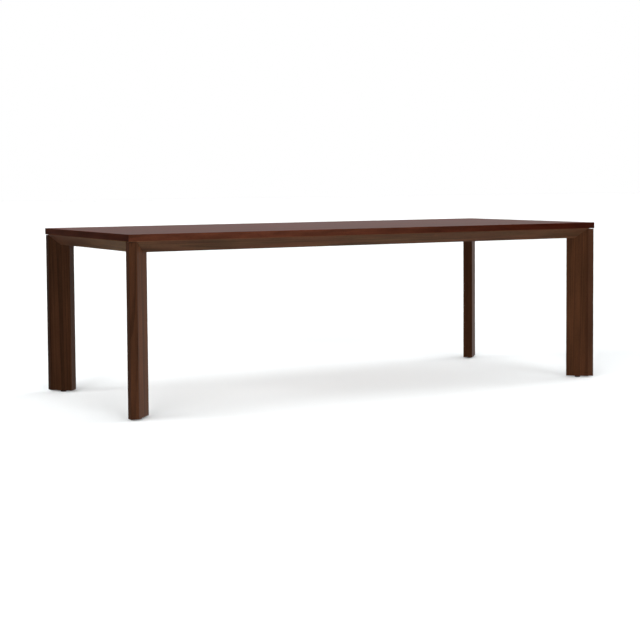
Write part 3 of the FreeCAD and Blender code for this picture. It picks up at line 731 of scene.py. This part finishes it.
bpy.ops.mesh.primitive_cylinder_add(vertices=6, radius=socket_flats / 2 / math.cos(math.pi / 6),
                                    depth=2 * socket_depth, location=(0, 0, low.z),
                                    rotation=(0, 0, socket_turn))
socket = bpy.context.object
bpy.ops.object.transform_apply()
insert = work(insert, "DIFFERENCE", socket)
inserts = fix_copies(insert, "threaded_glide_inserts", glide_places, zinc)
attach(inserts, "table")
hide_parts("glide_inserts")

# Glide stems: zinc-plated threaded rods that stand in the inserts, so that turning one raises its corner.
# The foot of each is moulded into the base, and a pin below it turns in the pad.
low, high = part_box("glide_stem_front_left")
base_low, base_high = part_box("glide_base_front_left")
pin_radius = 0.0025
pin_edge = 0.0002
stem = turned_piece([(pin_radius - pin_edge, low.z), (pin_radius, low.z + pin_edge),
                     (pin_radius, base_low.z), (bolt_radius, base_low.z), (bolt_radius, base_high.z),
                     (0.8 * bolt_radius, base_high.z + 0.001)])
stem_thread = threaded_rod(machine_root, bolt_radius, machine_pitch, base_high.z - 0.0005, high.z + 0.0005)
stem_end = turned_piece([(0.82 * bolt_radius, base_high.z - 0.0004),
                         (1.01 * bolt_radius, base_high.z + 0.0005),
                         (1.01 * bolt_radius, high.z - 0.001), (0.78 * bolt_radius, high.z)])
stem = work(stem, "UNION", work(stem_thread, "INTERSECT", stem_end))


def corner_of(place):
    """The name of the corner that a place lies in."""
    return next(corner for corner, (out_x, out_y) in corners.items()
                if out_x * place.translation.x > 0 and out_y * place.translation.y > 0)


def share_out(model, name, places, finish, body, node):
    """Copies a modelled piece to each corner, as a piece of its own that rides on that corner's body."""
    for place in places:
        corner = corner_of(place)
        piece = fix_copies(copy_of(model), f"{name}_{corner}", [place], finish)
        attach(piece, f"{corner}_{body}")
        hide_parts(f"{node}_{corner}")
    bpy.data.objects.remove(model)


share_out(stem, "threaded_stem", glide_places, zinc, "glide_screw", "glide_stem")

# Glide bases: black moulded discs round the stems' feet, fluted at the rim so that fingers can turn them.
# The leg comes down to just above the base when the glide is screwed right in.
base_sides = 72
base_edge = 0.0006
grip_depth = 0.0006
grip_edge = 0.00025
base_radius = (base_high.x - base_low.x) / 2
base = turned_piece([(base_radius - base_edge, base_low.z), (base_radius, base_low.z + base_edge),
                     (base_radius, base_high.z - 0.001), (base_radius - 0.0003, base_high.z - 0.0003),
                     (base_radius - 0.001, base_high.z)], base_sides)


def is_grip(face):
    """True for every second of the base's upright rim faces."""
    middle = face.calc_center_median()
    number = round(math.atan2(middle.y, middle.x) / math.tau * base_sides - 0.5)
    return abs(face.normal.z) < 0.1 and number % 2 == 0


bpy.ops.object.mode_set(mode="EDIT")
pick("faces", is_grip)
bpy.ops.mesh.inset(thickness=grip_edge, depth=-grip_depth, use_individual=True)
bpy.ops.object.mode_set(mode="OBJECT")
stem_hole = turned_piece([(bolt_radius, base_low.z - 0.001), (bolt_radius, base_high.z + 0.001)])
base = work(base, "DIFFERENCE", stem_hole)

# Moulded glass-filled nylon: a soft black with the fine bead-blasted grain of its mould
moulding, surface, place = new_finish("moulded_black_nylon")
blast_width = 0.0003
blast_depth = 0.00003
dust_width = 0.006
mould_grain = add_node(moulding, "ShaderNodeTexNoise",
                       {"Vector": place, "Scale": 1 / blast_width, "Detail": 2}).outputs["Fac"]
dust = add_node(moulding, "ShaderNodeTexNoise",
                {"Vector": place, "Scale": 1 / dust_width, "Detail": 3}).outputs["Fac"]
black = add_node(moulding, "ShaderNodeMix",
                 {"Factor": dust, 6: linear("#141312"), 7: linear("#232120")},
                 data_type="RGBA").outputs[2]
mould_sheen = add_node(moulding, "ShaderNodeMapRange",
                       {"Value": mould_grain, "To Min": 0.4, "To Max": 0.6}).outputs[0]
mould_relief = add_node(moulding, "ShaderNodeBump",
                        {"Height": mould_grain, "Strength": 0.4, "Distance": blast_depth}).outputs[0]
coat(moulding, surface, {"Base Color": black, "Roughness": mould_sheen, "Normal": mould_relief})
share_out(base, "fluted_base", glide_places, moulding, "glide_screw", "glide_base")

# Glide pads: brown discs of slippery nylon that stand on the floor and stay still while the base turns.
# Each is pressed on the pin below the stem.
pad_low, pad_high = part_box("glide_pad_front_left")
pad_radius = (pad_high.x - pad_low.x) / 2
pad = turned_piece([(pad_radius - 0.001, pad_low.z), (pad_radius - 0.0003, pad_low.z + 0.0003),
                    (pad_radius, pad_low.z + 0.001), (pad_radius, pad_high.z - 0.0003),
                    (pad_radius - 0.0003, pad_high.z)], sides=64)
pin_hole = turned_piece([(pin_radius + thread_clearance, low.z - thread_clearance),
                         (pin_radius + thread_clearance, pad_high.z + 0.001)])
pad = work(pad, "DIFFERENCE", pin_hole)

# Turned nylon: waxy brown, scuffed paler where it slides on the floor
pad_nylon, surface, place = new_finish("brown_nylon_pad")
scuff_width = 0.0012
scuff_depth = 0.00003
scuffs = add_node(pad_nylon, "ShaderNodeTexNoise",
                  {"Vector": place, "Scale": 1 / scuff_width, "Detail": 5}).outputs["Fac"]
waxy_brown = add_node(pad_nylon, "ShaderNodeMix",
                      {"Factor": scuffs, 6: linear("#3A2A20"), 7: linear("#5A4638")},
                      data_type="RGBA").outputs[2]
pad_sheen = add_node(pad_nylon, "ShaderNodeMapRange",
                     {"Value": scuffs, "To Min": 0.35, "To Max": 0.6}).outputs[0]
pad_relief = add_node(pad_nylon, "ShaderNodeBump",
                      {"Height": scuffs, "Strength": 0.3, "Distance": scuff_depth}).outputs[0]
coat(pad_nylon, surface, {"Base Color": waxy_brown, "Roughness": pad_sheen, "Normal": pad_relief})
share_out(pad, "nylon_pad", glide_places, pad_nylon, "glide_foot", "glide_pad")

# Floor and light: a pale painted floor, soft lamps for the table, and a low wash of light for the floor.
# The wash comes mostly from the left, so each foot's shadow lies on its right.
# The lacquer mirrors only the room's walls, dark on the left, and neither the floor nor the lamps.
bpy.ops.object.select_all(action="DESELECT")
bpy.ops.mesh.primitive_plane_add(size=120, location=(0, 0, 0))
floor = bpy.context.object
floor.name = "studio_floor"
floor.visible_glossy = False
floor_paint, surface = new_finish("pale_floor_paint")[:2]
surface.inputs["Base Color"].default_value = linear("#EDF0F1")
surface.inputs["Roughness"].default_value = 0.9
surface.inputs["Specular IOR Level"].default_value = 0
floor.data.materials.append(floor_paint)

dark_wall = 0.07
bright_wall = 0.81
room = bpy.data.worlds.new("studio_room")
room.use_nodes = True
bpy.context.scene.world = room
walls = room.node_tree.nodes["Background"]
direction = add_node(room, "ShaderNodeTexCoord", {}).outputs["Generated"]
to_the_right = add_node(room, "ShaderNodeSeparateXYZ", {"Vector": direction}).outputs["X"]
wall_light = add_node(room, "ShaderNodeMapRange",
                      {"Value": to_the_right, "From Min": -0.6, "From Max": 0.75,
                       "To Min": dark_wall, "To Max": bright_wall},
                      interpolation_type="SMOOTHSTEP").outputs[0]
seen = add_node(room, "ShaderNodeLightPath", {}).outputs["Is Camera Ray"]
brightness = add_node(room, "ShaderNodeMix", {"Factor": seen, 2: wall_light, 3: 1.0}).outputs[0]
walls.inputs["Color"].default_value = linear("#FFFFFF")
room.node_tree.links.new(brightness, walls.inputs["Strength"])

# Each lamp has a strength, a spread, and its bearing from the front and height in degrees
table_lamps = {"soft_above": (0.574, 40, 0, 90), "soft_front": (0.689, 40, 0, 20),
               "soft_front_right": (1.063, 40, 45, 20), "soft_left": (1.004, 40, -90, 20),
               "soft_back": (0.505, 60, 180, 20)}
floor_lamps = {"wash_above": (0.58, 40, 0, 90), "wash_front": (3.0, 30, 0, 10),
               "wash_front_left": (5.0, 30, -45, 10), "wash_left": (3.2, 60, -90, 15),
               "wash_right": (1.6, 30, 90, 10)}
lit_table = bpy.data.collections.new("lit_table")
lit_table.objects.link(floor)
lit_table.collection_objects[0].light_linking.link_state = "EXCLUDE"
lit_floor = bpy.data.collections.new("lit_floor")
lit_floor.objects.link(floor)
for lamps, lit in ((table_lamps, lit_table), (floor_lamps, lit_floor)):
    for name, (strength, spread, azimuth, elevation) in lamps.items():
        bpy.ops.object.light_add(type="SUN")
        lamp = bpy.context.object
        lamp.name = name
        lamp.data.energy = strength
        lamp.data.angle = math.radians(spread)
        turn, lift = math.radians(azimuth), math.radians(elevation)
        towards = Vector((math.sin(turn) * math.cos(lift), -math.cos(turn) * math.cos(lift), math.sin(lift)))
        lamp.rotation_mode = "QUATERNION"
        lamp.rotation_quaternion = (-towards).to_track_quat("-Z", "Y")
        lamp.visible_glossy = False
        lamp.light_linking.receiver_collection = lit

# Camera: it stands to the left of the table's front, a little above the top, and looks slightly down.
# Its place, its angles and its length of lens were fitted to the corners and edges in the photograph.
image_side = 640
focal_pixels = 1415.9
middle_row = 256.9
camera_place = Vector((-3.3940, -5.8376, 0.9748))
yaw, pitch, roll = (math.radians(angle) for angle in (29.901, 3.089, 0.376))
forward = Vector((math.sin(yaw) * math.cos(pitch), math.cos(yaw) * math.cos(pitch), -math.sin(pitch)))
level_right = Vector((math.cos(yaw), -math.sin(yaw), 0))
level_down = forward.cross(level_right)
right = math.cos(roll) * level_right + math.sin(roll) * level_down
down = math.cos(roll) * level_down - math.sin(roll) * level_right
bpy.ops.object.camera_add()
camera = bpy.context.object
camera.name = "photo_camera"
camera_turn = Matrix((right, -down, -forward)).transposed().to_4x4()
camera.matrix_world = Matrix.Translation(camera_place) @ camera_turn
camera.data.sensor_width = 36
camera.data.lens = focal_pixels / image_side * camera.data.sensor_width
camera.data.shift_y = (middle_row - image_side / 2) / image_side
camera.data.clip_end = 300
bpy.context.scene.camera = camera
bpy.context.scene.view_settings.view_transform = "Standard"
